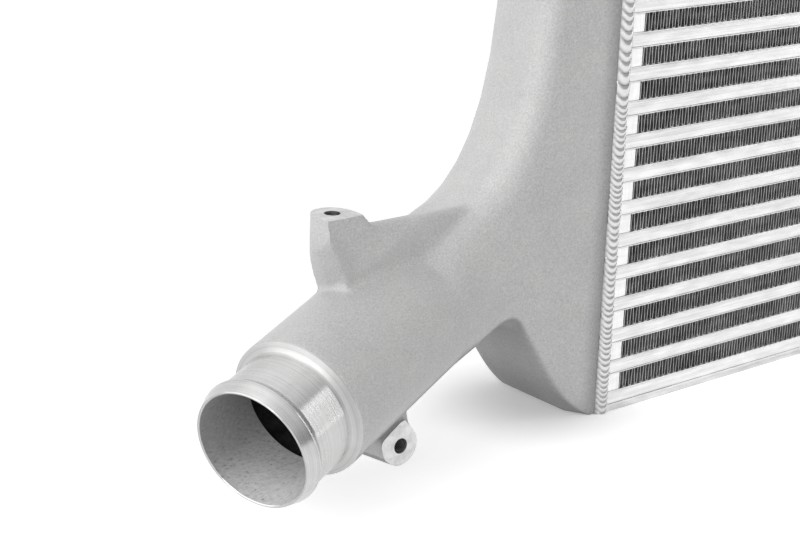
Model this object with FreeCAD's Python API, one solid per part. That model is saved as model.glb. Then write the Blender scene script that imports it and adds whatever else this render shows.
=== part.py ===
import FreeCAD, Part
import math
import os
from FreeCAD import Vector

# Bar-and-plate intercooler: a brazed aluminium core welded between two cast end tanks.
# Millimetres, +Z up. The origin is the centre of the core's lower face, which the part rests on.
# Cooling air passes through the core along Y, front face at -Y. The charge air flows along X.

# Core, a stack of air rows between charge rows
CORE_LENGTH = 520.0
CORE_DEPTH = 64.0
AIR_ROWS = 20
AIR_FIN_HEIGHT = 8.88
CHARGE_HEIGHT = 6.32
SHEET_THICKNESS = 0.4
SIDE_PLATE_THICKNESS = 3.4
LONG_BAR_WIDTH = 6.0
SHORT_BAR_WIDTH = 11.2

# Corrugated fins of the air rows and of the charge passages
AIR_FIN_FOIL = 0.45
AIR_FIN_LEGS = 36
AIR_FIN_RECESS = 0.6
TURBULATOR_FOIL = 0.6
TURBULATOR_LEGS = 6
TURBULATOR_RECESS = 4.0

# Cast end tank: a duct against the core's end whose outer wall sweeps down into a pipe.
# Reach is measured outwards from the end of the core, height from the floor.
TANK_INSET = 1.5
TANK_WALL = 4.0
DUCT_REACH = 46.0
DUCT_OVERLAP = 8.0
BACK_SHARE = 0.86
SWEEP_TOP = 225.0
SWEEP_KNEE_HEIGHT = 150.0
SWEEP_HEEL_REACH = 66.0
SWEEP_HEEL_HEIGHT = 121.0
SWEEP_END_REACH = 92.0
SWEEP_END_HEIGHT = 112.0
THROAT_KNEE_HEIGHT = 120.0
THROAT_HEEL_HEIGHT = 64.0
THROAT_END_REACH = 62.0
THROAT_END_HEIGHT = 53.0
SWEEP_STATIONS = 9
CAVITY_STATIONS = 5
FRONT_RIDGE_RADIUS = 10.0
FRONT_RIDGE_END_RADIUS = 20.0
BACK_RIDGE_RADIUS = 34.0
THROAT_RADIUS = 14.0

# Foot of the tank, below the pipe's root
FOOT_REACH = 12.8
FOOT_KNEE_REACH = 28.0
FOOT_KNEE_HEIGHT = 12.0
FOOT_HEEL_REACH = 36.0
FOOT_HEEL_HEIGHT = 32.0
FOOT_TOP_REACH = 57.0
FOOT_TOP_HEIGHT = 58.0
FOOT_ROOT_HEIGHT = 166.0
FOOT_RADIUS = 6.0
FOOT_STEP = 0.1

# Pipe and machined spigot, whose axis turns to the front and falls outwards
SPIGOT_REACH = 214.2
SPIGOT_SIDE = -43.8
SPIGOT_HEIGHT = 37.5
SPIGOT_TURN = 18.9
SPIGOT_FALL = 13.4
SPIGOT_LENGTH = 30.0
SPIGOT_BORE_RADIUS = 26.2
SPIGOT_NECK_RADIUS = 28.0
BEAD_RIDGE_RADIUS = 29.5
BEAD_RIDGE_BACK = 6.0
BEAD_RIDGE_FLAT = 1.5
BEAD_RIDGE_SLOPE = 2.0
MOUTH_EDGE = 1.0
SHOULDER_CHAMFER = 3.0
SHOULDER_STEP = 0.6
PIPE_RADIUS = 32.4
PIPE_START = 110.0
PIPE_LEAD = 8.0

# Threaded bosses cast on the pipe
THREAD_RADIUS = 2.5
THREAD_DEPTH = 14.0
HOLE_CHAMFER_RADIUS = 3.8
UPPER_BOSS_REACH = 150.0
UPPER_BOSS_SIDE = -10.0
UPPER_BOSS_HEIGHT = 119.5
UPPER_BOSS_RADIUS = 9.5
UPPER_BOSS_SKIRT = 15.0
UPPER_BOSS_SLANT_REACH = 7.5
UPPER_BOSS_SLANT_DROP = 18.0
UPPER_BOSS_FRONT_RISE = 7.0
UPPER_BOSS_FRONT_TUCK = 7.0
WEB_DROP = 5.5
WEB_THICKNESS = 8.0
WEB_ROUND = 3.0
WEB_INNER_REACH = 60.0
LOWER_BOSS_REACH = 128.1
LOWER_BOSS_SIDE = -34.5
LOWER_BOSS_HEIGHT = 15.3
LOWER_BOSS_RADIUS = 9.4
LOWER_BOSS_ROOT_RADIUS = 11.5
LOWER_BOSS_LENGTH = 22.0
LOWER_BOSS_PEAK_REACH = 126.4
LOWER_BOSS_PEAK_HEIGHT = 27.7
LOWER_BOSS_CORNER_REACH = 139.3
LOWER_BOSS_CORNER_HEIGHT = 18.8
LOWER_BOSS_STEP = 3.5

# Weld bead round the joint of core and tank
WELD_WIDTH = 7.0
WELD_RISE = 1.3

# Values that follow from those above
ROW_PITCH = AIR_FIN_HEIGHT + CHARGE_HEIGHT + 2 * SHEET_THICKNESS
CHARGE_ROW_HEIGHT = CHARGE_HEIGHT + 2 * SHEET_THICKNESS
CORE_HEIGHT = 2 * SIDE_PLATE_THICKNESS + AIR_ROWS * ROW_PITCH + CHARGE_ROW_HEIGHT
FRONT = -CORE_DEPTH / 2
TANK_FRONT = FRONT + TANK_INSET
TANK_BACK = -TANK_FRONT
TANK_TOP = CORE_HEIGHT - TANK_INSET
SHARP = 0.5
QUARTER = 90.0
CORNER_ARC = 60.0
UP = Vector(0, 0, 1)


def save(shape, name):
    """Write one piece as its own file."""
    shape.exportStep("parts/" + name + ".step")


def block(low, high):
    """Box between two opposite corners."""
    size = high - low
    return Part.makeBox(size.x, size.y, size.z, low)


def mirrored(shape):
    """The same piece for the other end of the core."""
    return shape.mirror(Vector(0, 0, 0), Vector(1, 0, 0))


def prism(points, run):
    """Solid of a closed straight-sided outline, extruded along run."""
    return Part.Face(Part.makePolygon(points + points[:1])).extrude(run)


# Heights of the rows, counted from the floor up


def charge_row_base(row):
    return SIDE_PLATE_THICKNESS + row * ROW_PITCH


def air_row_base(row):
    return charge_row_base(row) + CHARGE_ROW_HEIGHT


# Pieces of the core


def side_plate(base):
    high = Vector(CORE_LENGTH / 2, -FRONT, base + SIDE_PLATE_THICKNESS)
    return block(Vector(-CORE_LENGTH / 2, FRONT, base), high)


def parting_sheets():
    """Thin sheets below and above every charge row."""
    sheets = []
    for row in range(AIR_ROWS + 1):
        base = charge_row_base(row)
        for height in (base, base + SHEET_THICKNESS + CHARGE_HEIGHT):
            low = Vector(-CORE_LENGTH / 2, FRONT, height)
            sheets.append(block(low, Vector(CORE_LENGTH / 2, -FRONT, height + SHEET_THICKNESS)))
    return Part.makeCompound(sheets)


def long_bars(front_y):
    """Bars that close the charge rows along one face of the core."""
    bars = []
    for row in range(AIR_ROWS + 1):
        base = charge_row_base(row) + SHEET_THICKNESS
        low = Vector(-CORE_LENGTH / 2, front_y, base)
        bars.append(block(low, Vector(CORE_LENGTH / 2, front_y + LONG_BAR_WIDTH, base + CHARGE_HEIGHT)))
    return Part.makeCompound(bars)


def short_bars(start_x):
    """Bars that close the air rows at one end of the core."""
    bars = []
    for row in range(AIR_ROWS):
        base = air_row_base(row)
        low = Vector(start_x, FRONT, base)
        bars.append(block(low, Vector(start_x + SHORT_BAR_WIDTH, -FRONT, base + AIR_FIN_HEIGHT)))
    return Part.makeCompound(bars)


def zigzag(start, step, height, foil, legs):
    """Outline of a folded foil as (along, up) pairs from start, its crests touching both sheets."""
    slant = math.hypot(step, height)
    rise = foil * slant / step
    upper = []
    lower = []
    for fold in range(legs + 1):
        along = start + fold * step
        on_top = fold % 2 == 1
        upper.append((along, height if on_top else rise))
        lower.append((along, height - rise if on_top else 0.0))
    return upper + lower[::-1]


def air_fin(row):
    """Corrugated fin of one air row, folded along X and open to the front and the back."""
    base = air_row_base(row)
    half = CORE_LENGTH / 2 - SHORT_BAR_WIDTH
    front = FRONT + AIR_FIN_RECESS
    outline = zigzag(-half, 2 * half / AIR_FIN_LEGS, AIR_FIN_HEIGHT, AIR_FIN_FOIL, AIR_FIN_LEGS)
    points = [Vector(along, front, base + up) for along, up in outline]
    return prism(points, Vector(0, -2 * front, 0))


def turbulator(row):
    """Corrugated fin inside one charge passage, folded along Y and open towards both tanks."""
    base = charge_row_base(row) + SHEET_THICKNESS
    half = CORE_DEPTH / 2 - LONG_BAR_WIDTH
    start = -CORE_LENGTH / 2 + TURBULATOR_RECESS
    outline = zigzag(-half, 2 * half / TURBULATOR_LEGS, CHARGE_HEIGHT, TURBULATOR_FOIL, TURBULATOR_LEGS)
    points = [Vector(start, along, base + up) for along, up in outline]
    return prism(points, Vector(-2 * start, 0, 0))


# Sections of the tank, built against the core's right-hand end and carried to their place afterwards


def direction(turn_degrees, fall_degrees):
    """Unit vector outwards, turned to the front and fallen below level."""
    turn = math.radians(turn_degrees)
    fall = math.radians(fall_degrees)
    return Vector(math.cos(turn) * math.cos(fall), -math.sin(turn) * math.cos(fall), -math.sin(fall))


def bezier_point(poles, share):
    """Point of a curve with four poles."""
    rest = 1 - share
    weights = (rest ** 3, 3 * rest ** 2 * share, 3 * rest * share ** 2, share ** 3)
    point = Vector(0, 0, 0)
    for pole, weight in zip(poles, weights):
        point += pole * weight
    return point


def rounded_quad(corners, radii):
    """Closed wire of four arcs and four lines, with its own radius at each corner."""
    starts = []
    middles = []
    ends = []
    for index, corner in enumerate(corners):
        before = (corners[index - 1] - corner).normalize()
        after = (corners[(index + 1) % 4] - corner).normalize()
        half = before.getAngle(after) / 2
        radius = radii[index]
        starts.append(corner + before * (radius / math.tan(half)))
        ends.append(corner + after * (radius / math.tan(half)))
        middles.append(corner + (before + after).normalize() * (radius / math.sin(half) - radius))
    edges = []
    for index in range(4):
        edges.append(Part.Arc(starts[index], middles[index], ends[index]).toShape())
        edges.append(Part.makeLine(ends[index], starts[(index + 1) % 4]))
    return Part.Wire(edges)


def duct_section(ridge, inner, radii, inset):
    """Section of the duct in a plane along Y, from its outer ridge to its inner side."""
    along = (inner - ridge).normalize() * inset
    front = Vector(0, TANK_FRONT + inset, 0)
    back = Vector(0, TANK_BACK - inset, 0)
    outer_back = inner + (ridge - inner) * BACK_SHARE + along
    corners = [ridge + along + front, outer_back + back, inner - along + back, inner - along + front]
    return rounded_quad(corners, [max(radius - inset, SHARP) for radius in radii])


def pipe_section(distance, inset):
    """Round section of the pipe at a distance inwards from the mouth, in as many arcs as the duct's."""
    out = direction(SPIGOT_TURN, SPIGOT_FALL)
    centre = spigot_mouth() - out * distance
    back = UP.cross(out).normalize()
    up = out.cross(back)
    radius = PIPE_RADIUS - inset

    def at(degrees):
        angle = math.radians(degrees)
        return centre + (back * math.cos(angle) + up * math.sin(angle)) * radius
    edges = []
    for corner in (1.5 * QUARTER, 0.5 * QUARTER, -0.5 * QUARTER, -1.5 * QUARTER):
        end = corner - CORNER_ARC / 2
        following = corner + CORNER_ARC / 2 - QUARTER
        edges.append(Part.Arc(at(corner + CORNER_ARC / 2), at(corner), at(end)).toShape())
        edges.append(Part.Arc(at(end), at((end + following) / 2), at(following)).toShape())
    return Part.Wire(edges)


def spigot_mouth():
    return Vector(SPIGOT_REACH, SPIGOT_SIDE, SPIGOT_HEIGHT)


def sweep_sections(inset, stations):
    """Sections from the upright duct round the bend to the root of the pipe."""
    inner_x = -DUCT_OVERLAP
    ridge_poles = [Vector(DUCT_REACH, 0, SWEEP_TOP), Vector(DUCT_REACH, 0, SWEEP_KNEE_HEIGHT),
                   Vector(SWEEP_HEEL_REACH, 0, SWEEP_HEEL_HEIGHT),
                   Vector(SWEEP_END_REACH, 0, SWEEP_END_HEIGHT)]
    throat_poles = [Vector(inner_x, 0, SWEEP_TOP), Vector(inner_x, 0, THROAT_KNEE_HEIGHT),
                    Vector(0, 0, THROAT_HEEL_HEIGHT), Vector(THROAT_END_REACH, 0, THROAT_END_HEIGHT)]
    sections = []
    for station in range(stations):
        share = station / (stations - 1)
        front_radius = FRONT_RIDGE_RADIUS + (FRONT_RIDGE_END_RADIUS - FRONT_RIDGE_RADIUS) * share ** 2
        throat_radius = THROAT_RADIUS * share ** 3
        radii = (front_radius, BACK_RIDGE_RADIUS, throat_radius, throat_radius)
        ridge = bezier_point(ridge_poles, share)
        sections.append(duct_section(ridge, bezier_point(throat_poles, share), radii, inset))
    lead = duct_section(ridge_poles[0] + UP * PIPE_LEAD, throat_poles[0] + UP * PIPE_LEAD,
                        (FRONT_RIDGE_RADIUS, BACK_RIDGE_RADIUS, 0, 0), inset)
    pipe = [pipe_section(PIPE_START + PIPE_LEAD, inset), pipe_section(PIPE_START, inset)]
    return [lead] + sections + pipe


def tank_duct(inset, stations):
    """Upright duct, bend and pipe as one solid, set in from the cast surface by inset."""
    sections = sweep_sections(inset, stations)
    bend = Part.makeLoft(sections, True, True)
    tower = Part.Face(sections[0]).extrude(UP * (TANK_TOP - inset - SWEEP_TOP - PIPE_LEAD))
    pipe_run = direction(SPIGOT_TURN, SPIGOT_FALL) * (PIPE_START - SPIGOT_LENGTH - SHOULDER_CHAMFER)
    pipe = Part.Face(sections[-1]).extrude(pipe_run)
    return bend.fuse([tower, pipe])


def tank_foot(inset):
    """Block below the bend that closes the lower end of the core, with a flared outer wall."""
    front = TANK_FRONT + FOOT_STEP + inset
    low = inset
    foot = Vector(FOOT_REACH - inset, front, low)
    knee = Vector(FOOT_KNEE_REACH - inset, front, FOOT_KNEE_HEIGHT + inset)
    heel = Vector(FOOT_HEEL_REACH - inset, front, FOOT_HEEL_HEIGHT + inset)
    top = Vector(FOOT_TOP_REACH - inset, front, FOOT_TOP_HEIGHT + inset)
    wall = Part.BezierCurve()
    wall.setPoles([foot, knee, heel, top])
    joint_high = Vector(-DUCT_OVERLAP, front, FOOT_ROOT_HEIGHT)
    joint_low = Vector(-DUCT_OVERLAP, front, low)
    outline = Part.Wire([wall.toShape(), Part.makeLine(top, joint_high),
                         Part.makeLine(joint_high, joint_low), Part.makeLine(joint_low, foot)])
    return Part.Face(outline).extrude(Vector(0, -2 * front, 0))


def tank_form():
    """Whole cast form up to the shoulder, its open face still running past the core's end."""
    foot = tank_foot(0.0)
    curved = (Part.BezierCurve, Part.BSplineCurve)
    flare = [edge for edge in foot.Edges if isinstance(edge.Curve, curved)]
    return tank_duct(0.0, SWEEP_STATIONS).fuse(foot.makeFillet(FOOT_RADIUS, flare))


def tank_cavity():
    """Space inside the cast walls, open to the core."""
    return tank_duct(TANK_WALL, CAVITY_STATIONS).fuse(tank_foot(TANK_WALL))


# Machined spigot, bosses and openings of the tank


def turned(profile):
    """Solid of revolution about the spigot's axis, from (distance inwards, radius) points."""
    points = [Vector(radius, 0, -distance) for distance, radius in profile]
    solid = Part.Face(Part.makePolygon(points + points[:1])).revolve(Vector(0, 0, 0), UP, 4 * QUARTER)
    lean = FreeCAD.Rotation(UP, direction(SPIGOT_TURN, SPIGOT_FALL))
    solid.Placement = FreeCAD.Placement(spigot_mouth(), lean)
    return solid


def spigot_skin():
    """Turned outside of the spigot: mouth edge, hose bead, neck and chamfered shoulder."""
    ridge_end = BEAD_RIDGE_BACK + BEAD_RIDGE_FLAT
    shoulder_end = SPIGOT_LENGTH + SHOULDER_CHAMFER
    root = shoulder_end + PIPE_LEAD
    shoulder_radius = PIPE_RADIUS - SHOULDER_STEP
    return turned([(0, 0), (0, SPIGOT_BORE_RADIUS + MOUTH_EDGE), (BEAD_RIDGE_BACK, BEAD_RIDGE_RADIUS),
                   (ridge_end, BEAD_RIDGE_RADIUS), (ridge_end + BEAD_RIDGE_SLOPE, SPIGOT_NECK_RADIUS),
                   (SPIGOT_LENGTH, SPIGOT_NECK_RADIUS), (shoulder_end, shoulder_radius),
                   (root, shoulder_radius), (root, 0)])


def spigot_bore():
    end = SPIGOT_LENGTH + SHOULDER_CHAMFER + PIPE_LEAD
    return turned([(-PIPE_LEAD, 0), (-PIPE_LEAD, SPIGOT_BORE_RADIUS), (end, SPIGOT_BORE_RADIUS), (end, 0)])


def tapped_hole(mouth, out):
    """Blind tapping-size hole with a chamfered mouth, cut from a boss."""
    chamfer = HOLE_CHAMFER_RADIUS - THREAD_RADIUS
    drill = Part.makeCylinder(THREAD_RADIUS, THREAD_DEPTH, mouth, out * -1)
    point = Part.makeCone(THREAD_RADIUS, 0, THREAD_RADIUS, mouth - out * THREAD_DEPTH, out * -1)
    return drill.fuse([point, Part.makeCone(HOLE_CHAMFER_RADIUS, THREAD_RADIUS, chamfer, mouth, out * -1)])


def boss_outline(side, knee_height, root_reach):
    """Upright outline of the upper boss at one depth, from its head down into the pipe and up again."""
    outer = UPPER_BOSS_REACH + UPPER_BOSS_RADIUS
    inner = UPPER_BOSS_REACH - UPPER_BOSS_RADIUS
    root = UPPER_BOSS_HEIGHT - UPPER_BOSS_SKIRT - UPPER_BOSS_SLANT_DROP * 2
    shoulder = UPPER_BOSS_HEIGHT - WEB_DROP
    points = [Vector(outer, side, UPPER_BOSS_HEIGHT), Vector(outer, side, knee_height),
              Vector(root_reach, side, root), Vector(inner - UPPER_BOSS_RADIUS, side, root),
              Vector(inner - WEB_DROP, side, shoulder), Vector(inner, side, UPPER_BOSS_HEIGHT)]
    return Part.makePolygon(points + points[:1])


def upper_boss():
    """Upright boss with a square front and a round back, its outer side slanting in under the head."""
    front = UPPER_BOSS_SIDE - UPPER_BOSS_RADIUS
    back = UPPER_BOSS_SIDE + UPPER_BOSS_RADIUS
    knee = UPPER_BOSS_HEIGHT - UPPER_BOSS_SKIRT
    root = UPPER_BOSS_REACH + UPPER_BOSS_RADIUS - UPPER_BOSS_SLANT_REACH * 2
    outlines = [boss_outline(front, knee + UPPER_BOSS_FRONT_RISE, root - UPPER_BOSS_FRONT_TUCK),
                boss_outline(UPPER_BOSS_SIDE, knee, root), boss_outline(back, knee, root)]
    side = Part.makeLoft(outlines, True, True)
    low = knee - UPPER_BOSS_SLANT_DROP * 2
    inner = UPPER_BOSS_REACH - UPPER_BOSS_RADIUS * 2
    foot = Vector(UPPER_BOSS_REACH, UPPER_BOSS_SIDE, low)
    column = Part.makeCylinder(UPPER_BOSS_RADIUS, UPPER_BOSS_HEIGHT - low, foot)
    outer = UPPER_BOSS_REACH + UPPER_BOSS_RADIUS
    front_half = block(Vector(inner, front, low), Vector(outer, UPPER_BOSS_SIDE, UPPER_BOSS_HEIGHT))
    return side.common(column.fuse(front_half))


def boss_web():
    """Rib that ties the upper boss back to the duct, flush with the boss's front."""
    front = UPPER_BOSS_SIDE - UPPER_BOSS_RADIUS
    top = UPPER_BOSS_HEIGHT - WEB_DROP
    base = UPPER_BOSS_HEIGHT - UPPER_BOSS_SKIRT - UPPER_BOSS_SLANT_DROP
    high = Vector(UPPER_BOSS_REACH, front + WEB_THICKNESS, top)
    rib = block(Vector(WEB_INNER_REACH, front, base), high)
    upper = [edge for edge in rib.Edges if edge.BoundBox.ZMin > top - SHARP]
    crests = [edge for edge in upper if edge.BoundBox.XLength > SHARP]
    return rib.makeFillet(WEB_ROUND, crests)


def lower_boss():
    """Drafted boss along Y under the pipe, its machined head pointed, a cheek behind it on the pipe."""
    side = LOWER_BOSS_SIDE
    centre = Vector(LOWER_BOSS_REACH, side, LOWER_BOSS_HEIGHT)
    right = Vector(LOWER_BOSS_REACH - LOWER_BOSS_RADIUS, side, LOWER_BOSS_HEIGHT)
    peak = Vector(LOWER_BOSS_PEAK_REACH, side, LOWER_BOSS_PEAK_HEIGHT)
    corner = Vector(LOWER_BOSS_CORNER_REACH, side, LOWER_BOSS_CORNER_HEIGHT)
    left = Vector(LOWER_BOSS_REACH + LOWER_BOSS_RADIUS, side, LOWER_BOSS_HEIGHT - LOWER_BOSS_RADIUS / 2)
    head = prism([centre, right, peak, corner, left], Vector(0, LOWER_BOSS_LENGTH, 0))
    inwards = Vector(0, 1, 0)
    barrel = Part.makeCone(LOWER_BOSS_RADIUS, LOWER_BOSS_ROOT_RADIUS, LOWER_BOSS_LENGTH, centre, inwards)
    rise = UP * LOWER_BOSS_RADIUS
    cheek = prism([right, peak - Vector(LOWER_BOSS_STEP, 0, 0) + rise, corner + rise, corner],
                  Vector(0, LOWER_BOSS_LENGTH - LOWER_BOSS_STEP, 0))
    cheek.translate(Vector(0, LOWER_BOSS_STEP, 0))
    return barrel.fuse([head, cheek])


def end_tank():
    """Finished casting with its spigot bored, its bosses drilled and its face open to the core."""
    upper_mouth = Vector(UPPER_BOSS_REACH, UPPER_BOSS_SIDE, UPPER_BOSS_HEIGHT)
    lower_mouth = Vector(LOWER_BOSS_REACH, LOWER_BOSS_SIDE, LOWER_BOSS_HEIGHT)
    body = tank_form().fuse([spigot_skin(), upper_boss(), boss_web(), lower_boss()])
    past_joint = Vector(-DUCT_OVERLAP * 2, -CORE_DEPTH, -CORE_DEPTH)
    joint_side = block(past_joint, Vector(0, CORE_DEPTH, CORE_HEIGHT * 2))
    upper_hole = tapped_hole(upper_mouth, UP)
    lower_hole = tapped_hole(lower_mouth, Vector(0, -1, 0))
    return body.cut([tank_cavity(), spigot_bore(), joint_side, upper_hole, lower_hole])


def weld_ring():
    """Bead over the joint of core and tank, along the front, the back and the top."""
    half = WELD_WIDTH / 2
    crest = FRONT - WELD_RISE
    front = [Vector(-half, FRONT, 0), Vector(-half / 2, crest, 0), Vector(half / 2, crest, 0),
             Vector(half, TANK_FRONT, 0)]
    back = [Vector(point.x, -point.y, 0) for point in reversed(front)]
    top = CORE_HEIGHT + FRONT
    over_top = [Vector(point.x, -CORE_DEPTH, top - point.y) for point in front]
    below = [Vector(half, -CORE_DEPTH, 0), Vector(-half, -CORE_DEPTH, 0)]
    across = prism(front + back, UP * CORE_HEIGHT * 2)
    along = prism(over_top + below, Vector(0, CORE_DEPTH * 2, 0))
    core = block(Vector(-WELD_WIDTH, FRONT, -WELD_WIDTH), Vector(0, -FRONT, CORE_HEIGHT))
    return across.common(along).cut([core, tank_form()])


def placed(shape):
    """A piece of the right-hand end, moved out from the origin to the end of the core."""
    moved = shape.copy()
    moved.translate(Vector(CORE_LENGTH / 2, 0, 0))
    return moved


def build():
    os.makedirs("parts", exist_ok=True)
    save(side_plate(0), "bottom_side_plate")
    save(side_plate(CORE_HEIGHT - SIDE_PLATE_THICKNESS), "top_side_plate")
    save(parting_sheets(), "parting_sheets")
    save(long_bars(FRONT), "front_long_bars")
    save(long_bars(-FRONT - LONG_BAR_WIDTH), "rear_long_bars")
    save(short_bars(-CORE_LENGTH / 2), "left_short_bars")
    save(short_bars(CORE_LENGTH / 2 - SHORT_BAR_WIDTH), "right_short_bars")
    for row in range(AIR_ROWS):
        save(air_fin(row), "air_fin_%02d" % (row + 1))
    for row in range(AIR_ROWS + 1):
        save(turbulator(row), "turbulator_%02d" % (row + 1))
    tank = placed(end_tank())
    weld = placed(weld_ring())
    save(tank, "right_end_tank")
    save(mirrored(tank), "left_end_tank")
    save(weld, "right_weld")
    save(mirrored(weld), "left_weld")


build()
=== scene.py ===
# %% [markdown]
# # Bar-and-plate intercooler
# A brazed core of flat passages and folded fins is welded between two cast end tanks. The solids come from
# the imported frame. This lesson dresses them: softened castings, turned spigots, folded foil, weld ripples,
# and the light of a white studio.

# %% Load the frame
import bisect
import bmesh
import bpy
import math
import random
from mathutils import Matrix, Vector


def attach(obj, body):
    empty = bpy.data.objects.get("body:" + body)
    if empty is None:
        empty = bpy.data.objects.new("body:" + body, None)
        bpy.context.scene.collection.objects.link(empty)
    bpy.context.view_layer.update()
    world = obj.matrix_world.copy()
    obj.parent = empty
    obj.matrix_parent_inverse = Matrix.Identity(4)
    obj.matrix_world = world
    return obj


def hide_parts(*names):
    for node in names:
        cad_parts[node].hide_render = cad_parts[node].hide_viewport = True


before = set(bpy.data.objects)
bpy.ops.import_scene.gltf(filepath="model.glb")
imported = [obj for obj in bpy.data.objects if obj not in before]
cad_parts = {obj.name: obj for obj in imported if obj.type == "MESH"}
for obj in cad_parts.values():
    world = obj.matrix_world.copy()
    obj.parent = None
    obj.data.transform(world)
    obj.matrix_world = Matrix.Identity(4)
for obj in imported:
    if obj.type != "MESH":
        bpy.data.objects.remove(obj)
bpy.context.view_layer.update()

# %% [markdown]
# A new mesh is finished the same way each time. It rides on the only body, takes its finishes into its
# material slots, and stands for the solid it replaces. The object stays at the origin, because its place is
# in its mesh. The two ends of the part are mirror images, so an end is drawn once in millimetres, counted
# from the right-hand end of the core, and carried to both sides. A mirrored mesh is inside out, so its faces
# are turned round.

# %% Helpers for pieces
MM = 0.001
CORE_LENGTH = 520.0
END = CORE_LENGTH / 2
SIDES = {"right": 1, "left": -1}


def add_piece(name, mesh, finishes, replaced=()):
    """Put a finished mesh into the scene as a piece of the object."""
    piece = bpy.data.objects.new(name, mesh)
    bpy.context.scene.collection.objects.link(piece)
    for finish in finishes:
        mesh.materials.append(finish)
    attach(piece, "root")
    if replaced:
        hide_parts(*replaced)
    print(name, len(mesh.polygons), "faces")


def to_mesh(work, name):
    """Close a bmesh into a mesh."""
    mesh = bpy.data.meshes.new(name)
    work.to_mesh(mesh)
    work.free()
    return mesh


def to_metres(work):
    """Scale a piece drawn in millimetres."""
    bmesh.ops.transform(work, matrix=Matrix.Diagonal((MM, MM, MM, 1)), verts=work.verts)


def place(work, side):
    """Carry a piece drawn against the core's end, in millimetres, to its place in metres."""
    matrix = Matrix.Diagonal((MM, MM, MM, 1)) @ Matrix.Translation((END, 0, 0))
    if side < 0:
        matrix = Matrix.Diagonal((-1, 1, 1, 1)) @ matrix
    bmesh.ops.transform(work, matrix=matrix, verts=work.verts)
    if side < 0:
        bmesh.ops.reverse_faces(work, faces=work.faces)


print("core's end", END, "mm from the middle")

# %% [markdown]
# Modifiers are worked on a helper object, which is thrown away once its mesh is read. Smooth shading hides
# the facets of a round form, but an edge that a tool has cut must stay crisp, so edges are marked by their
# angle.

# %% Helpers for modifiers and shading


def helper_object(mesh):
    """Object that only carries a mesh through a modifier."""
    piece = bpy.data.objects.new("helper", mesh)
    bpy.context.scene.collection.objects.link(piece)
    return piece


def baked(piece, name):
    """Mesh of a helper object with its modifiers applied. The helper is removed."""
    graph = bpy.context.evaluated_depsgraph_get()
    mesh = bpy.data.meshes.new_from_object(piece.evaluated_get(graph), depsgraph=graph)
    mesh.name = name
    bpy.data.objects.remove(piece)
    return mesh


def smooth_by_angle(mesh, degrees):
    """Shade a mesh smoothly, but keep edges sharper than an angle."""
    mesh.shade_smooth()
    work = bmesh.new()
    work.from_mesh(mesh)
    for edge in work.edges:
        edge.smooth = len(edge.link_faces) == 2 and edge.calc_face_angle(0) < math.radians(degrees)
    work.to_mesh(mesh)
    work.free()


# %% [markdown]
# Materials are built from nodes. Colours are written as sRGB hex, as a paint chart gives them, and one
# function turns them to the linear values that the renderer works in. Another adds a node with its settings
# and links.

# %% Helpers for colours and nodes


def linear(code):
    """Linear colour of an sRGB hex code."""
    values = []
    for start in (0, 2, 4):
        value = int(code[start:start + 2], 16) / 255
        values.append(value / 12.92 if value <= 0.04045 else ((value + 0.055) / 1.055) ** 2.4)
    return (*values, 1.0)


def new_finish(name):
    """Empty node material with its tree and its shader."""
    material = bpy.data.materials.new(name)
    material.use_nodes = True
    return material, material.node_tree, material.node_tree.nodes["Principled BSDF"]


def join(tree, value, socket):
    """Link an output to a socket, or set the socket to a plain value."""
    if isinstance(value, bpy.types.NodeSocket):
        tree.links.new(value, socket)
    else:
        socket.default_value = value


def add_node(tree, kind, settings=None, links=None):
    """Add a node, set its values and join its inputs, which are given by name or by number."""
    node = tree.nodes.new(kind)
    for key, value in (settings or {}).items():
        setattr(node, key, value)
    for key, value in (links or {}).items():
        join(tree, value, node.inputs[key])
    return node


print("middle grey", linear("808080")[0])

# %% [markdown]
# A few patterns come back in every finish: clouds of noise, a ramp that turns a value to a colour, a value
# that is mapped to another range, and bumps. Each gets a short function, so that a finish reads like a
# recipe.

# %% Helpers for patterns


def ramp(tree, factor, stops):
    """Colour ramp through (position, hex colour) stops."""
    node = add_node(tree, "ShaderNodeValToRGB", links={"Fac": factor})
    band = node.color_ramp
    while len(band.elements) < len(stops):
        band.elements.new(0.5)
    for element, (position, code) in zip(band.elements, stops):
        element.position = position
        element.color = linear(code)
    return node.outputs["Color"]


def object_place(tree, scale=(1, 1, 1)):
    """Object coordinates, scaled for a pattern."""
    coordinates = add_node(tree, "ShaderNodeTexCoord").outputs["Object"]
    mapping = add_node(tree, "ShaderNodeMapping", links={"Vector": coordinates, "Scale": scale})
    return mapping.outputs["Vector"]


def noise(tree, vector, scale, detail, roughness=0.5):
    """Clouds of noise as a value."""
    node = add_node(tree, "ShaderNodeTexNoise", links={"Vector": vector, "Scale": scale, "Detail": detail,
                                                       "Roughness": roughness})
    return node.outputs["Fac"]


def mapped(tree, value, low, high, start=0.0, end=1.0, soft=False):
    """Value that goes from low to high while another goes from start to end."""
    node = add_node(tree, "ShaderNodeMapRange", {"interpolation_type": "SMOOTHSTEP" if soft else "LINEAR"},
                    {"Value": value, "From Min": start, "From Max": end, "To Min": low, "To Max": high})
    return node.outputs["Result"]


def math_node(tree, operation, first, *others):
    """Result of a calculation on outputs or plain numbers."""
    node = add_node(tree, "ShaderNodeMath", {"operation": operation}, dict(enumerate((first, *others))))
    return node.outputs["Value"]


print("linear value of the darkest finish", linear("343434")[0], "and of the lightest", linear("FFFFFF")[0])

# %% [markdown]
# The last few helpers change a colour, read how a surface lies, and give it bumps. The normal is read in
# object space, so a part that is turned round keeps its tints.

# %% Helpers for colour, direction and bumps


def mixed_colour(tree, first, second, share, blend="MIX"):
    """Two colours mixed, or one added to the other."""
    node = add_node(tree, "ShaderNodeMix", {"data_type": "RGBA", "blend_type": blend},
                    {"Factor": share, 6: first, 7: second})
    return node.outputs[2]


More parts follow.
